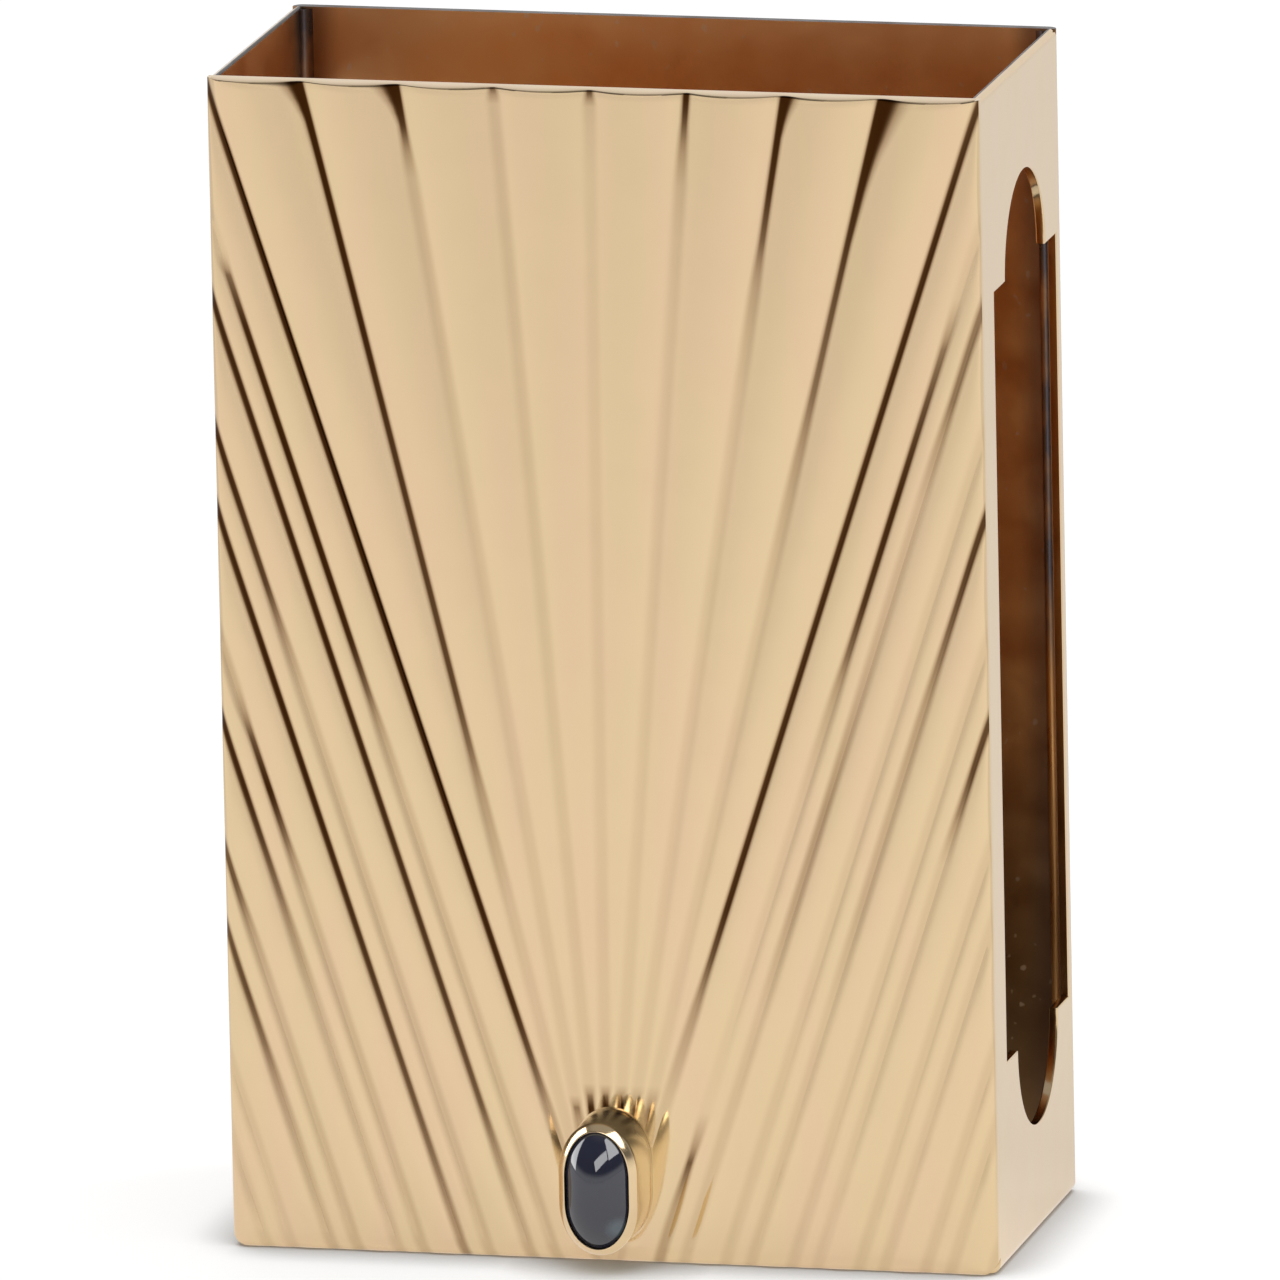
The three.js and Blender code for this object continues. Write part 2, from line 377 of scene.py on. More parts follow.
# the fan and its flanks, as one open surface that overruns the panel
def makeReeds():
    top, low = sleeve["height"] + reeding["overrun"], reeding["lowEnd"]
    pitch = fanPitch()
    halfFan = pitch * reeding["fanCount"] / 2
    fan = reedArc("front_reeds", -halfFan, pitch, pitch * reeding["fanRise"], reeding["fanSteps"])
    repeatAcross(fan, pitch, reeding["fanCount"])
    softenValleys(fan)
    openMesh(fan)
    selectAll()
    extrudeEdges()
    shrink = (low - reeding["focus"]) / (top - reeding["focus"])
    resizeAbout(point(0, sleeve["valley"], reeding["focus"]), shrink, shrink, shrink)
    closeMesh()
    wide, narrow = reeding["wideWidth"], reeding["narrowWidth"]
    rise, steps = reeding["flankRise"], reeding["flankSteps"]
    flank = joinPieces([
        reedArc("flank_wide", halfFan, wide, wide * rise, steps),
        reedArc("flank_narrow", halfFan + wide, narrow, narrow * rise, steps),
    ])
    repeatAcross(flank, wide + narrow, reeding["pairCount"])
    isSoft = lambda x: abs((x - halfFan) % (wide + narrow) - wide) < slack
    roundValleys(flank, reeding["softValleyRound"], isSoft)
    openMesh(flank)
    selectAll()
    extrudeEdges()
    lean = halfFan / (top - reeding["focus"])
    moveBy(-lean * (top - low), 0, low - top)
    closeMesh()
    other = flank.modifiers.new("other", "MIRROR")
    other.use_mirror_merge = False
    applyModifier(flank, "other")
    return joinPieces([fan, flank])


# the pattern leans a little, and is trimmed to the panel's outline with its lower corners rounded
def trimReeds():
    top, half, rounding = sleeve["height"], sleeve["halfWidth"], sleeve["footRound"]
    weld(rowGap)
    selectAll()
    bpy.ops.transform.rotate(
        value=-math.radians(reeding["tilt"]), orient_axis="Y",
        center_override=point(0, sleeve["valley"], top))
    bisect(point(0, 0, top), (0, 0, 1), True)
    bisect(point(half, 0, 0), (1, 0, 0), True)
    bisect(point(-half, 0, 0), (-1, 0, 0), True)
    bisect(point(0, 0, 0), (0, 0, -1), True)
    for side in (-1, 1):
        for step in range(1, reeding["cornerCuts"] + 1):
            turn = math.radians(reeding["cornerTurn"] * step)
            across, down = math.cos(turn), math.sin(turn)
            x = side * (half - rounding + rounding * across)
            bisect(point(x, 0, rounding - rounding * down), (side * across, 0, -down), True)


def addRows(fan):
    top, half, sideRound = sleeve["height"], sleeve["halfWidth"], reeding["sideRound"]
    # for the rounding at the foot, at the upright edges and along the top
    for row in roundRows():
        bisect(point(0, 0, row * sleeve["footRound"]), (0, 0, 1))
        for side in (-1, 1):
            bisect(point(side * (half - row * sideRound), 0, 0), (side, 0, 0))
    for row in roundRows()[2::3]:
        bisect(point(0, 0, top - row * reeding["edgeRound"]), (0, 0, 1))
    # up the panel between its upright edges, for the painted shade along the grooves
    levels = [top - gap for gap in reeding["topRows"]]
    levels += [reeding["rowPitch"] * i for i in range(1, reeding["rowCount"] + 1)]
    levels += reeding["extraRows"]
    inside = (half - sideRound + fineSlack) * mm
    for level in levels:
        pick(fan, "FACE", lambda f: max(abs(v.co.x) for v in f.verts) < inside)
        bpy.ops.mesh.bisect(plane_co=point(0, 0, level), plane_no=(0, 0, 1), threshold=cutGap)


# the fan's reeds, and the first two pairs to the right of it, run out towards the setting
def runOutReeds(fan):
    pair, margin = reeding["wideWidth"] + reeding["narrowWidth"], reeding["runOutMargin"]

    def flattenRow(level, share, low, high):
        shift = leanAside(level)
        isInRow = lambda c: abs(c.z / mm - level) < slack
        isBetween = lambda c: low - margin < c.x / mm + shift < high + margin
        pick(fan, "VERT", lambda v: isInRow(v.co) and isBetween(v.co))
        resizeAbout(point(0, sleeve["valley"], 0), 1, share, 1)

    for level, share in reeding["runOut"]:
        edge = fanEdge(level)
        flattenRow(level, share, -edge, edge)
    for level, share in reeding["rightRunOut"]:
        edge = fanEdge(level)
        flattenRow(level, share, edge, edge + pair)
        flattenRow(level, (1 + share) / 2, edge + pair, edge + 2 * pair)


# the reeds and the plate roll off at the foot and at the upright edges, and the top edge is eased
def rollEdges(fan):
    top, half, edgeRound = sleeve["height"], sleeve["halfWidth"], reeding["edgeRound"]
    start = point(0, sleeve["valley"] + reeding["cornerRound"], 0)
    flatten = lambda share: resizeAbout(start, 1, share, 1)
    ease = lambda share: moveBy(0, (1 - share) * edgeRound, 0)
    rollOff(fan, edgeRound, lambda c: top * mm - c.z, ease)
    rollOff(fan, sleeve["footRound"], lambda c: c.z, flatten)
    rollOff(fan, reeding["sideRound"], lambda c: half * mm - abs(c.x), flatten)


def isOpenEdge(edge):
    return len(edge.link_faces) == 1


def cutPocket(fan):
    size = reeding["pocket"]
    pocket = makeOval("pocket", size, sleeve["valley"] + size["floor"])
    openMesh(pocket)
    selectAll()
    bpy.ops.mesh.edge_face_add()
    extrudeFaces(0, -size["depth"], 0)
    faceOutwards()
    closeMesh()
    cutAway(fan, pocket)


def makeFront():
    fan = makeReeds()
    openMesh(fan)
    trimReeds()
    addRows(fan)
    runOutReeds(fan)
    rollEdges(fan)
    # the rim of the sheet goes straight back to the inner face
    pick(fan, "EDGE", isOpenEdge)
    extrudeEdges()
    resizeAbout(point(0, sleeve["frontInner"], 0), 1, 0, 1)
    bpy.ops.mesh.edge_face_add()
    closeMesh()
    tidyMesh(fan, reeding["smoothAngle"])
    cutPocket(fan)
    tidyMesh(fan, reeding["smoothAngle"])
    return fan


front = makeFront()

# painted shade and reflection along each groove, as pairs of height in millimetres and depth of tone
grooveShade = {
    "fan-4": [
        (57, 0.75), (51, 0.85), (41, 1.0), (31, 1.0), (22, 0.9), (12, 0.8), (7, 0.35), (3, 0.2),
    ],
    "fan-3": [
        (57, 1.0), (51, 0.9), (46, 0.88), (41, 0.75), (27, 0.66), (22, 0.35), (17, 0.14), (3, 0.12),
    ],
    "fan-2": [(57, 1.0), (55, 0.7), (53, 0.2), (40, 0.13), (8.1, 0.12), (7.5, 0.5), (5, 0.1)],
    "fan-1": [(57, 0.6), (56.2, 0.14), (40, 0.12), (8.7, 0.12), (8.1, 0.5), (7.5, 0.85), (5, 0.1)],
    "fan0": [(57, 0.7), (56.2, 0.16), (54, 0.06), (8.7, 0.12), (8.1, 0.55), (7.5, 0.9), (5, 0.1)],
    "fan1": [
        (57, 0.9), (55, 0.5), (52, 0.15), (46, 0.1), (8.7, 0.1), (8.1, 0.45), (7.5, 0.85), (5, 0.1),
    ],
    "fan2": [
        (57, 0.95), (52, 0.75), (47, 0.28), (42, 0.12), (8.7, 0.1), (8.1, 0.3), (7.5, 0.6), (5, 0.1),
    ],
    "fan3": [
        (57, 1.0), (52, 0.8), (47, 0.62), (42, 0.5), (37, 0.26), (32, 0.13), (8.7, 0.1),
        (7.5, 0.5), (5, 0.1),
    ],
    "fan4": [(57, 0.7), (51, 0.82), (32, 0.8), (17, 0.8), (13, 0.42), (8, 0.18), (3, 0.15)],
    "leftCrease1": [(47, 0.8), (31, 0.9), (22, 0.78), (12, 0.68), (7, 0.56), (3, 0.25)],
    "leftCrease2": [(32, 0.82), (27, 0.92), (22, 0.86), (12, 0.68), (7, 0.58), (3, 0.43)],
    "leftCrease3": [(22, 0.82), (17, 0.46), (12, 0.18), (3, 0.16)],
    "leftCrease4": [(12, 0.62), (7, 0.3), (3, 0.2)],
    "leftSoft1": [
        (57, 0.1), (48.5, 0.1), (47, 0.75), (41, 0.95), (31, 0.95), (27, 0.5), (24, 0.2), (3, 0.19),
    ],
    "leftSoft2": [(37, 0.8), (32, 0.66), (29, 0.3), (27, 0.2), (3, 0.19)],
    "leftSoft3": [(27, 0.25), (24, 0.8), (22, 0.92), (19, 0.3), (17, 0.22), (3, 0.2)],
    "leftSoft4": [(18, 0.6), (14, 0.22), (3, 0.2)],
    "rightCrease1": [
        (42, 0.5), (38, 0.22), (32, 0.24), (22, 0.42), (17, 0.33), (13, 0.15), (3, 0.15),
    ],
    "rightCrease2": [(34, 0.7), (28, 0.4), (22, 0.27), (17, 0.27), (13, 0.13), (3, 0.14)],
    "rightCrease3": [(24, 0.66), (20, 0.14), (3, 0.1)],
    "rightSoft1": [
        (57, 0.1), (46.5, 0.12), (45, 0.5), (42, 0.65), (37, 0.85), (32, 0.72), (28, 0.33),
        (24, 0.14), (7.5, 0.05), (5.0, 0.6), (2.5, 0.35),
    ],
    "rest": [(57, 0.12), (0, 0.12)],
    # widths of the lines, and where a tone counts as dark
    "darkWidth": 0.33, "softWidth": 0.5, "darkFrom": 0.2, "darkSpan": 0.4,
    # how faint tones are weakened, and how a tone becomes a share of the dark colours
    "faintShare": 0.6, "faintGain": 0.8, "strength": 0.775, "gamma": 2.2, "fullTone": 0.9625,
    # points deeper than this, behind the valleys, get no painted shade
    "plateDepth": 0.3, "noGroove": 9,
    # painted lines that widen at the top of their grooves: to which side, by how much and over what
    # height
    "flares": {
        "fan-3": (-1, 1.0, 2.8), "fan-2": (-1, 1.1, 2.6), "fan2": (1, 0.8, 2.6), "fan3": (1, 1.6, 7.0),
    },
    "noFlare": (0, 0, 1),
}


# the nearest groove to a place on the front: its name and the level distance to it
def nearestGroove(x, z):
    x += leanAside(z)
    edge = fanEdge(z)
    if abs(x) <= edge:
        pitch = edge * 2 / reeding["fanCount"]
        number = round(x / pitch)
        return "fan%d" % number, x - number * pitch
    side, first = ("right", "fan4") if x > 0 else ("left", "fan-4")
    wide, pair = reeding["wideWidth"], reeding["wideWidth"] + reeding["narrowWidth"]
    number, rest = divmod(abs(x) - edge, pair)
    places = [
        (rest, first if number == 0 else "%sCrease%d" % (side, number)),
        (abs(rest - wide), "%sSoft%d" % (side, number + 1)),
        (pair - rest, "%sCrease%d" % (side, number + 1)),
    ]
    distance, name = min(places)
    return name, distance


def toneAt(name, z):
    steps = grooveShade.get(name, grooveShade["rest"])
    if z >= steps[0][0]:
        return steps[0][1]
    for (highZ, highTone), (lowZ, lowTone) in zip(steps, steps[1:]):
        if z >= lowZ:
            return lowTone + (highTone - lowTone) * (z - lowZ) / (highZ - lowZ)
    return steps[-1][1]


# the distance to the nearest groove, in widths of its line, and the share of the painted dark colours
def grooveAt(x, z):
    name, distance = nearestGroove(x, z)
    depth = toneAt(name, z)
    depth *= min(1.0, grooveShade["faintShare"] + grooveShade["faintGain"] * depth)
    dark = min(1.0, max(0.0, (depth - grooveShade["darkFrom"]) / grooveShade["darkSpan"]))
    width = grooveShade["softWidth"] + (grooveShade["darkWidth"] - grooveShade["softWidth"]) * dark
    flareSide, flareWidth, flareHeight = grooveShade["flares"].get(name, grooveShade["noFlare"])
    rise = (z - sleeve["height"]) / flareHeight + 1
    if rise > 0 and distance * flareSide > 0:
        width += flareWidth * rise * rise
    share = 1 - (1 - grooveShade["strength"] * depth) ** grooveShade["gamma"]
    return abs(distance) / width, share / grooveShade["fullTone"]


# paints shade along the grooves into two marks on each point of the mesh
def markGrooves(piece):
    groove = piece.data.attributes.new("groove", "FLOAT", "POINT")
    tone = piece.data.attributes.new("grooveShade", "FLOAT", "POINT")
    for v in piece.data.vertices:
        x, y, z = (c / mm for c in v.co)
        marks = grooveAt(x, z)
        if y > sleeve["valley"] + grooveShade["plateDepth"]:
            marks = grooveShade["noGroove"], 0
        groove.data[v.index].value, tone.data[v.index].value = marks
    print("grooves marked")


markGrooves(front)

# side walls with their striker windows
wall = {
    "windowFront": -3.9, "windowBack": 9.5, "windowLow": 9.8, "windowHigh": 47.2,
    "archHalf": 4.3, "archRise": 4.55, "archPoints": 96, "archDepth": 4, "overrun": 1,
    "flatAngle": 0.5, "roundSteps": 3, "smoothAngle": 35,
    "rounds": {"topOuter": 0.28, "topInner": 0.1, "windowOuter": 0.06, "windowInner": 0.26},
}


# an edge between the sheet's face and its rim, outer or inner, at the top or round the window
def isSheetEdge(edge, outer, top):
    if len(edge.link_faces) != 2:
        return False
    flat = [abs(f.normal.x) > facing for f in edge.link_faces]
    isOuter = abs(edge.verts[0].co.x) > (sleeve["halfWidth"] - slack) * mm
    if flat[0] == flat[1] or isOuter != outer:
        return False
    ys = [v.co.y / mm for v in edge.verts]
    zs = [v.co.z / mm for v in edge.verts]
    if max(ys) < sleeve["frontInner"] + slack or min(ys) > sleeve["backInner"] - slack:
        return False
    return max(zs) > sleeve["footHeight"] + slack and (min(zs) > sleeve["height"] - slack) == top


def makeWall(side):
    half, sheet, overrun = sleeve["halfWidth"], sleeve["sideSheet"], wall["overrun"]
    xLow, xHigh = sorted((side * half, side * (half - sheet)))
    name = "right_side" if side > 0 else "left_side"
    low = point(xLow, sleeve["frontInner"], sleeve["footHeight"])
    piece = addBlock(name, low, point(xHigh, sleeve["backInner"], sleeve["height"]))
    low = point(xLow - overrun, wall["windowFront"], wall["windowLow"])
    high = point(xHigh + overrun, wall["windowBack"], wall["windowHigh"])
    cutAway(piece, addBlock("window", low, high))
    middle = (wall["windowFront"] + wall["windowBack"]) / 2
    for level in (wall["windowLow"], wall["windowHigh"]):
        restart()
        bpy.ops.mesh.primitive_cylinder_add(
            vertices=wall["archPoints"], radius=mm, depth=wall["archDepth"] * mm,
            location=point(side * half, middle, level), rotation=(0, math.pi / 2, 0))
        arch = bpy.context.object
        arch.scale = (wall["archRise"], wall["archHalf"], 1)
        applyTransform()
        cutAway(piece, arch)
    openMesh(piece)
    weld(weldGap)
    bpy.ops.mesh.dissolve_limited(angle_limit=math.radians(wall["flatAngle"]))
    # the sheet's edges are eased, and thinned from inside round the window
    for place, size in wall["rounds"].items():
        outer, top = place.endswith("Outer"), place.startswith("top")
        count = pick(piece, "EDGE", lambda e: isSheetEdge(e, outer, top))
        bevelEdges(size, wall["roundSteps"])
        print(name, place, "edges eased:", count)
    closeMesh()
    tidyMesh(piece, wall["smoothAngle"])
    flattenShading(piece)
    return piece


rightWall = makeWall(1)
leftWall = makeWall(-1)

# plain back sheet
backSheet = {
    "cornerRound": 0.48, "cornerSteps": 5, "topRound": 0.25, "topSteps": 3, "smoothAngle": 35,
    "seamRound": 0.6, "seamPoints": 64, "seamLow": 1.25, "seamHigh": 56.9, "seamBite": 0.1,
    "hollowLength": 80,
}


# an upright edge at an outer corner of the back
def isBackCorner(edge):
    a, b = edge.verts
    isUpright = abs(a.co.z - b.co.z) > rowGap
    return isUpright and min(a.co.y, b.co.y) > (sleeve["back"] - slack) * mm


def makeBack():
    half, inner = sleeve["halfWidth"], sleeve["backInner"]
    low = point(-half, inner, sleeve["footHeight"])
    piece = addBlock("back_sheet", low, point(half, sleeve["back"], sleeve["height"]))
    openMesh(piece)
    pick(piece, "EDGE", isBackCorner)
    bevelEdges(backSheet["cornerRound"], backSheet["cornerSteps"], False)

    def isTop(edge):
        isHigh = min(v.co.z for v in edge.verts) > (sleeve["height"] - slack) * mm
        return isHigh and min(v.co.y for v in edge.verts) > (inner + slack) * mm

    print("back edges eased:", pick(piece, "EDGE", isTop))
    bevelEdges(backSheet["topRound"], backSheet["topSteps"])
    closeMesh()
    # solder run into the two inner corners
    reach, corner = backSheet["seamRound"], half - sleeve["sideSheet"]
    for side in (-1, 1):
        xLow, xHigh = sorted((side * corner, side * (corner - reach)))
        low = point(xLow, inner - reach, backSheet["seamLow"])
        high = point(xHigh, inner + backSheet["seamBite"], backSheet["seamHigh"])
        seam = addBlock("seam", low, high)
        restart()
        bpy.ops.mesh.primitive_cylinder_add(
            vertices=backSheet["seamPoints"], radius=reach * mm,
            depth=backSheet["hollowLength"] * mm,
            location=point(side * (corner - reach), inner - reach, sleeve["height"] / 2))
        hollow = bpy.context.object
        applyTransform()
        cutAway(seam, hollow)
        combine(piece, seam, "UNION")
    tidyMesh(piece, backSheet["smoothAngle"])
    flattenShading(piece)
    return piece


back = makeBack()

# foot rim that turns in under the walls
foot = {
    "lip": 2.4, "ledgeRise": 0.3, "ledgeGap": 0.05, "cornerRound": 0.48, "cornerSteps": 5,
    "roundShare": 0.97, "roundSteps": 8, "openingLow": -1, "openingHigh": 3, "smoothAngle": 35,
}


def makeFoot():
    half, start = sleeve["halfWidth"], sleeve["frontInner"]
    high = point(half, sleeve["back"], sleeve["footHeight"])
    piece = addBlock("foot_ring", point(-half, start, 0), high)
    openMesh(piece)
    pick(piece, "EDGE", isBackCorner)
    bevelEdges(foot["cornerRound"], foot["cornerSteps"], False)

    def isUnder(edge):
        isLow = max(v.co.z for v in edge.verts) < rowGap
        return isLow and max(v.co.y for v in edge.verts) > (start + slack) * mm

    pick(piece, "EDGE", isUnder)
    bevelEdges(sleeve["footRound"] * foot["roundShare"], foot["roundSteps"])
    # the ledge that the box of matches stands on
    pick(piece, "FACE", lambda f: f.normal.z > facing)
    extrudeFaces()
    sheet, gap = sleeve["sideSheet"], foot["ledgeGap"]
    ledgeFront, ledgeBack = start + gap, sleeve["backInner"] - gap
    across, deep = (half - sheet - gap) / half, (ledgeBack - ledgeFront) / (sleeve["back"] - start)
    resizeAbout(point(0, start, 0), across, deep, 1)
    moveBy(0, gap, 0)
    extrudeFaces(0, 0, foot["ledgeRise"])
    closeMesh()
    lip = foot["lip"]
    low = point(lip - half, sleeve["valley"] + lip, foot["openingLow"])
    high = point(half - lip, sleeve["back"] - lip, foot["openingHigh"])
    cutAway(piece, addBlock("opening", low, high))
    tidyMesh(piece, foot["smoothAngle"])
    flattenShading(piece)
    return piece


footRing = makeFoot()

# collet: a tall oval band with a rolled rim, by its inset and its place out of the front
band = {
    "width": 3.9, "height": 6.5, "straight": 1.4, "centre": 4.25, "points": 96, "smoothAngle": 50,
    "section": [
        (0.0, -9.34), (0.015, -9.42), (0.05, -9.48), (0.12, -9.57), (0.19, -9.655), (0.25, -9.72),
        (0.31, -9.78), (0.345, -9.81), (0.37, -9.81), (0.38, -9.75), (0.38, -8.4),
    ],
}


def makeBand():
    piece = makeOval("oval_band", band, sleeve["valley"])
    openMesh(piece)
    selectAll()
    middle, halfWidth, halfHeight = point(0, 0, band["centre"]), band["width"] / 2, band["height"] / 2
    level, inset = sleeve["valley"], 0.0
    for offset, y in band["section"]:
        extrudeEdges(0, y - level, 0)
        across = (halfWidth - offset) / (halfWidth - inset)
        along = (halfHeight - offset) / (halfHeight - inset)
        resizeAbout(middle, across, 1, along)
        level, inset = y, offset
    extrudeEdges(0, sleeve["valley"] - level, 0)
    pick(piece, "EDGE", isOpenEdge)
    bpy.ops.mesh.bridge_edge_loops()
    closeMesh()
    tidyMesh(piece, band["smoothAngle"])
    return piece


bandPiece = makeBand()

# cabochon: a smooth oval dome
gem = {
    "width": 3.1, "height": 5.7, "straight": 1.4, "centre": 4.25, "points": 96, "smoothAngle": 60,
    "base": -8.35, "girdle": -9.62, "top": -10.65, "spread": 52, "rings": 24,
}


def makeGem():
    piece = makeOval("cabochon_dome", gem, gem["base"])
    openMesh(piece)
    selectAll()
    bpy.ops.mesh.edge_face_add()
    extrudeFaces(0, gem["girdle"] - gem["base"], 0)
    level, size, spread = gem["girdle"], 1.0, math.radians(gem["spread"])
    for ring in range(1, gem["rings"]):
        turn = spread * (1 - ring / gem["rings"])
        share = (math.cos(turn) - math.cos(spread)) / (1 - math.cos(spread))
        y = gem["girdle"] + (gem["top"] - gem["girdle"]) * share
        now = math.sin(turn) / math.sin(spread)
        extrudeFaces(0, y - level, 0)
        resizeAbout(point(0, 0, gem["centre"]), now / size, 1, now / size)
        level, size = y, now
    extrudeFaces(0, gem["top"] - level, 0)
    bpy.ops.mesh.merge(type="CENTER")
    closeMesh()
    tidyMesh(piece, gem["smoothAngle"])
    return piece


gemPiece = makeGem()


def newMaterial(name):
    material = bpy.data.materials.new(name)
    material.use_nodes = True
    tree = material.node_tree
    return material, tree, tree.nodes["Principled BSDF"]


def addNode(tree, kind, x, y, **settings):
    node = tree.nodes.new(kind)
    node.location = (x, y)
    for key, value in settings.items():
        setattr(node, key, value)
    return node


# links a socket to what feeds it, or sets it where that is a plain value
def feed(tree, socket, value):
    if isinstance(value, bpy.types.NodeSocket):
        tree.links.new(value, socket)
    else:
        socket.default_value = (*value, 1) if socket.type == "RGBA" else value


# these add a node and give back its output
def objectPlace(tree, scale=(1000, 1000, 1000), y=0):
    place = addNode(tree, "ShaderNodeTexCoord", -1400, y)
    mapping = addNode(tree, "ShaderNodeMapping", -1200, y)
    mapping.inputs["Scale"].default_value = scale
    tree.links.new(place.outputs["Object"], mapping.inputs["Vector"])
    return mapping.outputs[0]


def splitPlace(tree, source, x, y):
    parts = addNode(tree, "ShaderNodeSeparateXYZ", x, y)
    tree.links.new(source, parts.inputs[0])
    return parts.outputs


def noise(tree, source, scale, detail, x, y):
    node = addNode(tree, "ShaderNodeTexNoise", x, y)
    node.inputs["Scale"].default_value = scale
    node.inputs["Detail"].default_value = detail
    tree.links.new(source, node.inputs["Vector"])
    return node.outputs["Fac"]


def ramp(tree, source, span, results, x, y, smooth=True):
    node = addNode(tree, "ShaderNodeMapRange", x, y)
    if smooth:
        node.interpolation_type = "SMOOTHSTEP"
    names = ("From Min", "From Max", "To Min", "To Max")
    for name, value in zip(names, (*span, *results)):
        node.inputs[name].default_value = value
    tree.links.new(source, node.inputs["Value"])
    return node.outputs[0]


def mixColour(tree, factor, first, second, x, y):
    node = addNode(tree, "ShaderNodeMix", x, y, data_type="RGBA")
    for number, value in ((0, factor), (6, first), (7, second)):
        feed(tree, node.inputs[number], value)
    return node.outputs[2]


def mixValue(tree, factor, first, second, x, y):
    node = addNode(tree, "ShaderNodeMix", x, y, data_type="FLOAT")
    for number, value in ((0, factor), (2, first), (3, second)):
        feed(tree, node.inputs[number], value)
    return node.outputs[0]


def calculate(tree, operation, values, x, y):
    node = addNode(tree, "ShaderNodeMath", x, y, operation=operation)
    for socket, value in zip(node.inputs, values):
        feed(tree, socket, value)
    return node.outputs[0]


def distanceTo(tree, source, target, x, y):
    node = addNode(tree, "ShaderNodeVectorMath", x, y, operation="DISTANCE")
    node.inputs[1].default_value = target
    tree.links.new(source, node.inputs[0])
    return node.outputs["Value"]


# a slight unevenness, with its height in millimetres, on top of one that comes before it
def bump(tree, source, strength, height, x, y, before=None):
    node = addNode(tree, "ShaderNodeBump", x, y)
    node.inputs["Strength"].default_value = strength
    node.inputs["Distance"].default_value = height * mm
    tree.links.new(source, node.inputs["Height"])
    if before:
        tree.links.new(before, node.inputs["Normal"])
    return node.outputs["Normal"]


def dress(tree, shader, colour, roughness, normal, metallic=1):
    tree.links.new(colour, shader.inputs["Base Color"])
    tree.links.new(roughness, shader.inputs["Roughness"])
    tree.links.new(normal, shader.inputs["Normal"])
    shader.inputs["Metallic"].default_value = metallic


# polished gold: a warm and a cool tint in clouds, smudges, and fine buffing marks
goldFinish = {
    "warm": (0.73, 0.537, 0.336), "cool": (0.724, 0.548, 0.328),
    # paler tints, painted light for the collet's sides, and an added roughness for their satin finish
    "paintedLightWarm": (0.92, 0.77, 0.56), "paintedLightCool": (0.9, 0.79, 0.55), "satin": 0.12,
    # painted shade and reflection along the grooves: a brown band with a darker core
    "grooveShadeBrown": (0.2, 0.09, 0.025), "groove": (0.045, 0.015, 0.003),
    "lineSpan": (0.2, 1.0), "coreSpan": (0.5, 1.0),
    "cloudScale": (420, 420, 70), "clouds": (1.0, 3), "cloudSpan": (0.36, 0.62),
    "smudges": (0.5, 4), "smudgeSpan": (0.35, 0.7), "roughLow": 0.09, "roughHigh": 0.17,
    "buffScale": (9000, 9000, 700), "buffing": (1.0, 2), "buffBump": (0.02, 0.04),
    "waves": (0.35, 1), "waveBump": (0.25, 0.06),
}


def makeGold(name, grooves=False, satin=0.0, warm=goldFinish["warm"], cool=goldFinish["cool"]):
    material, tree, shader = newMaterial(name)
    inMm = objectPlace(tree)
    along = objectPlace(tree, goldFinish["cloudScale"], 250)
    clouds = noise(tree, along, *goldFinish["clouds"], -1000, 200)
    streaks = ramp(tree, clouds, goldFinish["cloudSpan"], (0, 1), -800, 200)
    colour = mixColour(tree, streaks, warm, cool, -600, 200)
    smudges = noise(tree, inMm, *goldFinish["smudges"], -1000, -100)
    roughs = (goldFinish["roughLow"] + satin, goldFinish["roughHigh"] + satin)
    rough = ramp(tree, smudges, goldFinish["smudgeSpan"], roughs, -600, -100, False)
    # painted shade and reflection along the grooves, from the marks on the mesh
    if grooves:
        distance = addNode(tree, "ShaderNodeAttribute", -1000, 600, attribute_name="groove")
        depth = addNode(tree, "ShaderNodeAttribute", -1000, 450, attribute_name="grooveShade")
        line = ramp(tree, distance.outputs["Fac"], goldFinish["lineSpan"], (1, 0), -800, 600)
        mark = calculate(tree, "MULTIPLY", (line, depth.outputs["Fac"]), -600, 500)
        grooveShaded = mixColour(tree, mark, colour, goldFinish["grooveShadeBrown"], -400, 300)
        core = ramp(tree, mark, goldFinish["coreSpan"], (0, 1), -400, 550)
        colour = mixColour(tree, core, grooveShaded, goldFinish["groove"], -200, 300)
    # buffing marks and a slight unevenness of the sheet
    stretched = objectPlace(tree, goldFinish["buffScale"], -400)
    buffing = noise(tree, stretched, *goldFinish["buffing"], -1000, -400)
    waves = noise(tree, inMm, *goldFinish["waves"], -1000, -650)
    fine = bump(tree, buffing, *goldFinish["buffBump"], -600, -400)
    uneven = bump(tree, waves, *goldFinish["waveBump"], -400, -550, fine)
    dress(tree, shader, colour, rough, uneven)
    return material


# the unpolished inside, browner and satin, with painted shade towards the foot, painted light towards
# the top, and a few bright specks
innerFinish = {
    "tint": (0.82, 0.46, 0.175), "deep": (0.7, 0.36, 0.125), "clouds": (0.12, 4),
    "low": (0.22, 0.13, 0.06), "footShadeSpan": (3, 28), "high": (0.86, 0.53, 0.26), "highSpan": (44, 52),
    "speck": (0.8, 0.6, 0.4), "grains": (1.6, 1), "speckSpan": (0.72, 0.78), "speckShare": 0.8,
    "corner": (0.2, 0.12, 0.085), "cornerShadeSpan": (0.6, 2.0), "cornerShadeShare": 0.7,
    "smudges": (0.4, 4), "smudgeSpan": (0.3, 0.7), "rough": (0.28, 0.4), "bump": (0.3, 0.08),
}


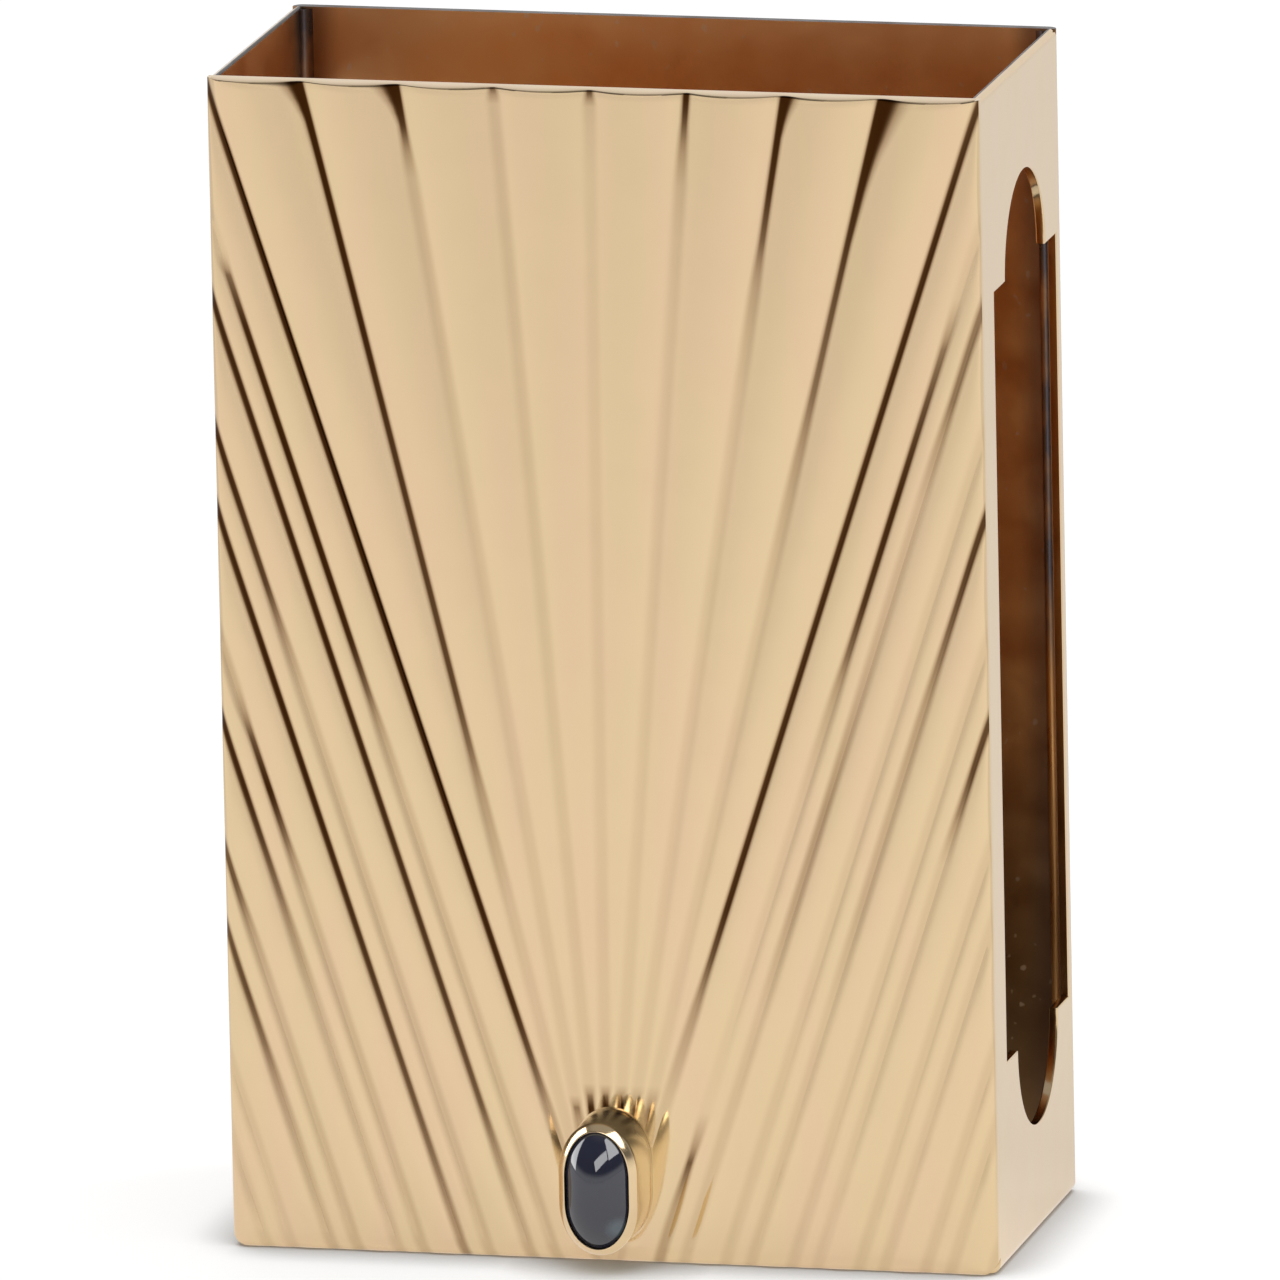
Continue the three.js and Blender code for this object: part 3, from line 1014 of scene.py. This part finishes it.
def makeInnerGold():
    material, tree, shader = newMaterial("innerGold")
    inMm = objectPlace(tree)
    parts = splitPlace(tree, inMm, -1000, 400)
    clouds = noise(tree, inMm, *innerFinish["clouds"], -1000, 200)
    tint = mixColour(tree, clouds, innerFinish["tint"], innerFinish["deep"], -700, 200)
    # painted shade deep inside towards the foot, and painted light near the open top
    low = ramp(tree, parts["Z"], innerFinish["footShadeSpan"], (0, 1), -800, 400)
    high = ramp(tree, parts["Z"], innerFinish["highSpan"], (0, 1), -800, 500)
    deep = mixColour(tree, low, innerFinish["low"], tint, -600, 350)
    heightShaded = mixColour(tree, high, deep, innerFinish["high"], -450, 300)
    grains = noise(tree, inMm, *innerFinish["grains"], -1000, 650)
    shares = (0, innerFinish["speckShare"])
    specks = ramp(tree, grains, innerFinish["speckSpan"], shares, -800, 650, False)
    worn = mixColour(tree, specks, heightShaded, innerFinish["speck"], -300, 300)
    # painted shade, darker towards the two corners at the back
    flat = addNode(tree, "ShaderNodeCombineXYZ", -650, 800)
    across = calculate(tree, "ABSOLUTE", (parts["X"],), -800, 800)
    tree.links.new(across, flat.inputs["X"])
    tree.links.new(parts["Y"], flat.inputs["Y"])
    corner = (sleeve["halfWidth"] - sleeve["sideSheet"], sleeve["backInner"], 0)
    apart = distanceTo(tree, flat.outputs[0], corner, -500, 800)
    cornerShade = ramp(tree, apart, innerFinish["cornerShadeSpan"], (innerFinish["cornerShadeShare"], 0), -350, 800)
    shaded = mixColour(tree, cornerShade, worn, innerFinish["corner"], -150, 400)
    smudges = noise(tree, inMm, *innerFinish["smudges"], -1000, -100)
    rough = ramp(
        tree, smudges, innerFinish["smudgeSpan"], innerFinish["rough"], -600, -100, False)
    dress(tree, shader, shaded, rough, bump(tree, smudges, *innerFinish["bump"], -300, -400))
    return material


# painted shade along the top edges, and the solder of the seams, which is browner below a height
dullFinish = {
    "edge": (0.03, 0.022, 0.02), "edgeLight": (0.1, 0.065, 0.04),
    "solder": (0.09, 0.085, 0.1), "solderLight": (0.5, 0.27, 0.1), "solderLow": 27, "nowhere": -100,
    "fade": 3, "patchScale": (1000, 1000, 400), "patches": (0.5, 4), "patchSpan": (0.45, 0.75),
    "roughSpan": (0.3, 0.7), "rough": (0.22, 0.4), "bump": (0.3, 0.05),
}


def makeDullGold(name, dark, light, low):
    material, tree, shader = newMaterial(name)
    fade = dullFinish["fade"]
    stretched = objectPlace(tree, dullFinish["patchScale"])
    patches = noise(tree, stretched, *dullFinish["patches"], -1000, 200)
    share = ramp(tree, patches, dullFinish["patchSpan"], (0, 1), -800, 200, False)
    height = splitPlace(tree, objectPlace(tree, y=500), -1000, 500)["Z"]
    below = ramp(tree, height, (low - fade, low + fade), (1, 0), -800, 500)
    most = calculate(tree, "MAXIMUM", (share, below), -700, 350)
    tint = mixColour(tree, most, dark, light, -600, 200)
    rough = ramp(tree, patches, dullFinish["roughSpan"], dullFinish["rough"], -600, -100, False)
    dress(tree, shader, tint, rough, bump(tree, patches, *dullFinish["bump"], -300, -400))
    return material


# dark blue stone, with light gathered at the lower right of the dome
stoneFinish = {
    "deep": (0.008, 0.01, 0.024), "light": (0.02, 0.022, 0.05), "clouds": (0.6, 4),
    "glow": (0.1, 0.15, 0.19), "glowPlace": (1.0, -10.0, 2.5), "glowSpan": (0.1, 0.75),
    "smudges": (1.2, 3), "smudgeSpan": (0.3, 0.7), "rough": (0.03, 0.07), "bump": (0.1, 0.02),
    "refraction": 1.77,
}


def makeStone():
    material, tree, shader = newMaterial("blueStone")
    inMm = objectPlace(tree)
    clouds = noise(tree, inMm, *stoneFinish["clouds"], -1000, 200)
    tint = mixColour(tree, clouds, stoneFinish["deep"], stoneFinish["light"], -600, 200)
    apart = distanceTo(tree, inMm, stoneFinish["glowPlace"], -1000, 500)
    share = ramp(tree, apart, stoneFinish["glowSpan"], (1, 0), -800, 500)
    lit = mixColour(tree, share, tint, stoneFinish["glow"], -400, 300)
    smudges = noise(tree, inMm, *stoneFinish["smudges"], -1000, -100)
    rough = ramp(
        tree, smudges, stoneFinish["smudgeSpan"], stoneFinish["rough"], -600, -100, False)
    dress(tree, shader, lit, rough, bump(tree, smudges, *stoneFinish["bump"], -300, -400), 0)
    shader.inputs["IOR"].default_value = stoneFinish["refraction"]
    return material


frontGold = makeGold("reededGold", True)
plainGold = makeGold("polishedGold")
# a paler, rougher copy of the gold: the roughness is a satin finish, the paleness is painted light
satinPaintedLightGold = makeGold(
    "satinPaintedLightGold", False, goldFinish["satin"], goldFinish["paintedLightWarm"], goldFinish["paintedLightCool"])
innerGold = makeInnerGold()
shadeEdgeGold = makeDullGold(
    "paintedShadeEdge", dullFinish["edge"], dullFinish["edgeLight"], dullFinish["nowhere"])
solder = makeDullGold(
    "seamSolder", dullFinish["solder"], dullFinish["solderLight"], dullFinish["solderLow"])
blueStone = makeStone()

# how far a face has to turn, by its normal, to get its own material
turned = {
    "up": 0.2, "in": 0.2, "edgeOut": 0.1, "edgeDepth": 0.2, "seam": 0.05, "seamUp": 0.5,
    "frontInside": 0.9, "ledgeUp": 0.5, "rimOut": 0.3,
}


# a side wall's faces: 0 outside, 1 inside, 2 along the top edge
def wallFace(face, side):
    out = face.normal.x * side
    isHigh = face.center.z > (sleeve["height"] - turned["edgeDepth"]) * mm
    if face.normal.z > turned["up"] and out < turned["edgeOut"] and isHigh:
        return 2
    return 1 if out < -turned["in"] else 0


# the back's faces: 3 is the solder in its corners
def backFace(face):
    across, out, up = face.normal
    if up > turned["up"] and out < turned["edgeOut"]:
        return 2
    if abs(across) > turned["seam"] and out < -turned["seam"] and abs(up) < turned["seamUp"]:
        return 3
    return 1 if out < -turned["in"] else 0


isFrontInside = lambda f: int(f.normal.y > turned["frontInside"])
isLedge = lambda f: int(f.normal.z > turned["ledgeUp"])
isBandSide = lambda f: int(abs(f.normal.y) < turned["rimOut"])
# the third sheet finish paints shade along the top edges
sheetGold = [plainGold, innerGold, shadeEdgeGold]
finishPiece(front, "front_panel", [frontGold, innerGold], isFrontInside)
finishPiece(rightWall, "right_wall", sheetGold, lambda f: wallFace(f, 1))
finishPiece(leftWall, "left_wall", sheetGold, lambda f: wallFace(f, -1))
finishPiece(back, "back_panel", [*sheetGold, solder], backFace)
finishPiece(footRing, "foot_rim", [plainGold, innerGold], isLedge)
# the collet's sides get the paler, satin copy of the gold, its paleness painted light
finishPiece(bandPiece, "collet", [plainGold, satinPaintedLightGold], isBandSide)
finishPiece(gemPiece, "cabochon", [blueStone])
# the bearing keeps its shape from the frame
bearing = bpy.data.objects["stone_bearing"]
bearing.data.materials.clear()
bearing.data.materials.append(plainGold)

# white floor, and a plain soft studio
studio = {
    "floorSize": 3.0, "floorWhite": 0.5, "floorRough": 0.7, "floorShine": 0.1, "cameraLift": 0.65,
    "mirrorFar": 0.57, "mirrorNear": 0.66, "mirrorSpan": (-0.26, -0.03),
    "mirrorBehind": 0.47, "behindSpan": (-0.01, 0.02),
    "contactReach": 0.004, "contactSpan": (0.3, 0.9),
    "worldLight": 0.65, "cameraWhite": 1.0, "backdrop": 0.95, "dim": 0.15, "zenith": 0.4,
    "aheadSpan": (-0.2, 0.4), "raisedSpan": (0.06, 0.2), "overheadSpan": (0.3, 0.7),
    "zenithSpan": (0.75, 0.95),
    # name, place, target, size, power and, for a card, its roll
    "lamps": [
        ("keyBox", (0.7, 0.3, 0.5), (0, 0, 0.02), (0.4, 0.4), 1.4),
        ("topBox", (0.03, -0.06, 0.3), (0.03, -0.06, 0), (0.15, 0.15), 0.17),
    ],
    "cards": [
        ("leftCard", (-0.6, -0.03, 0.3), (0, 0, 0.01), (0.3, 0.6), 2.8, 0),
        ("rightCard", (0.4, -0.27, 0.44), (0, 0, 0.01), (0.4, 0.4), 2.4, 0),
        ("windowCard", (0.1, -0.5, 0.26), (0, 0, 0.01), (0.4, 0.14), 0.75, 22),
    ],
}


def makeFloor():
    restart()
    bpy.ops.mesh.primitive_plane_add(size=studio["floorSize"], location=(0, 0, 0))
    floor = bpy.context.object
    floor.name = "floor"
    material, tree, shader = newMaterial("floorPaint")
    feed(tree, shader.inputs["Base Color"], (studio["floorWhite"],) * 3)
    feed(tree, shader.inputs["Roughness"], studio["floorRough"])
    feed(tree, shader.inputs["Specular IOR Level"], studio["floorShine"])
    # lifted to white for the camera, but not where the object stands
    path = addNode(tree, "ShaderNodeLightPath", -1000, 300).outputs
    views = (path["Is Camera Ray"], path["Is Transmission Ray"])
    seen = calculate(tree, "MAXIMUM", views, -800, 400)
    direct = calculate(tree, "MULTIPLY", (seen, studio["cameraLift"]), -600, 400)
    clear = addNode(tree, "ShaderNodeAmbientOcclusion", -800, -300)
    clear.inputs["Distance"].default_value = studio["contactReach"]
    contact = ramp(tree, clear.outputs["AO"], studio["contactSpan"], (0, 1), -600, -300, False)
    shaded = calculate(tree, "MULTIPLY", (direct, contact), -400, 300)
    # lifted in reflections too, most in front of the object and least behind it
    place = addNode(tree, "ShaderNodeTexCoord", -1200, 0)
    deep = splitPlace(tree, place.outputs["Object"], -1000, 0)["Y"]
    lifts = (studio["mirrorFar"], studio["mirrorNear"])
    ahead = ramp(tree, deep, studio["mirrorSpan"], lifts, -800, 100, False)
    behind = ramp(tree, deep, studio["behindSpan"], (0, 1), -800, -100)
    brightness = mixValue(tree, behind, ahead, studio["mirrorBehind"], -700, 100)
    mirrored = calculate(tree, "MULTIPLY", (path["Is Glossy Ray"], brightness), -600, 200)
    feed(tree, shader.inputs["Emission Color"], (1, 1, 1))
    lift = calculate(tree, "ADD", (shaded, mirrored), -200, 300)
    feed(tree, shader.inputs["Emission Strength"], lift)
    floor.data.materials.append(material)


def makeWorld():
    world = bpy.data.worlds.new("studio")
    scene.world = world
    world.use_nodes = True
    tree = world.node_tree
    background = tree.nodes["Background"]
    place = addNode(tree, "ShaderNodeTexCoord", -1200, 0)
    parts = splitPlace(tree, place.outputs["Generated"], -1000, 0)
    # what the gold mirrors: a bright backdrop, dim in front above the horizon and overhead
    ahead = ramp(tree, parts["Y"], studio["aheadSpan"], (1, 0), -800, 150)
    raised = ramp(tree, parts["Z"], studio["raisedSpan"], (0, 1), -800, -50)
    room = calculate(tree, "MULTIPLY", (ahead, raised), -650, 100)
    overhead = ramp(tree, parts["Z"], studio["overheadSpan"], (0, 1), -800, -250)
    shade = calculate(tree, "MAXIMUM", (room, overhead), -500, 0)
    glooms = (studio["dim"], studio["zenith"])
    gloom = ramp(tree, parts["Z"], studio["zenithSpan"], glooms, -800, -450)
    mirrored = mixValue(tree, shade, studio["backdrop"], gloom, -350, -100)
    path = addNode(tree, "ShaderNodeLightPath", -800, 300).outputs
    light = mixValue(tree, path["Is Glossy Ray"], studio["worldLight"], mirrored, -200, 0)
    seen = mixValue(tree, path["Is Camera Ray"], light, studio["cameraWhite"], -100, 100)
    feed(tree, background.inputs["Color"], (1, 1, 1))
    feed(tree, background.inputs["Strength"], seen)


def makeLamp(name, place, target, size, power, roll=0):
    lamp = bpy.data.lights.new(name, "AREA")
    lamp.shape = "RECTANGLE"
    lamp.size, lamp.size_y = size
    lamp.energy = power
    holder = bpy.data.objects.new(name, lamp)
    scene.collection.objects.link(holder)
    holder.location = place
    aim = Vector(target) - Vector(place)
    turn = aim.to_track_quat("-Z", "Y") @ Quaternion((0, 0, 1), math.radians(roll))
    holder.rotation_euler = turn.to_euler()
    return holder


makeFloor()
makeWorld()
for lamp in studio["lamps"]:
    makeLamp(*lamp).visible_glossy = False
# the cards light the stone and its collet alone
setting = bpy.data.collections.new("setting")
for piece in (bandPiece, gemPiece):
    setting.objects.link(piece)
for card in studio["cards"]:
    holder = makeLamp(*card)
    holder.visible_diffuse = False
    holder.light_linking.receiver_collection = setting
print("studio made")
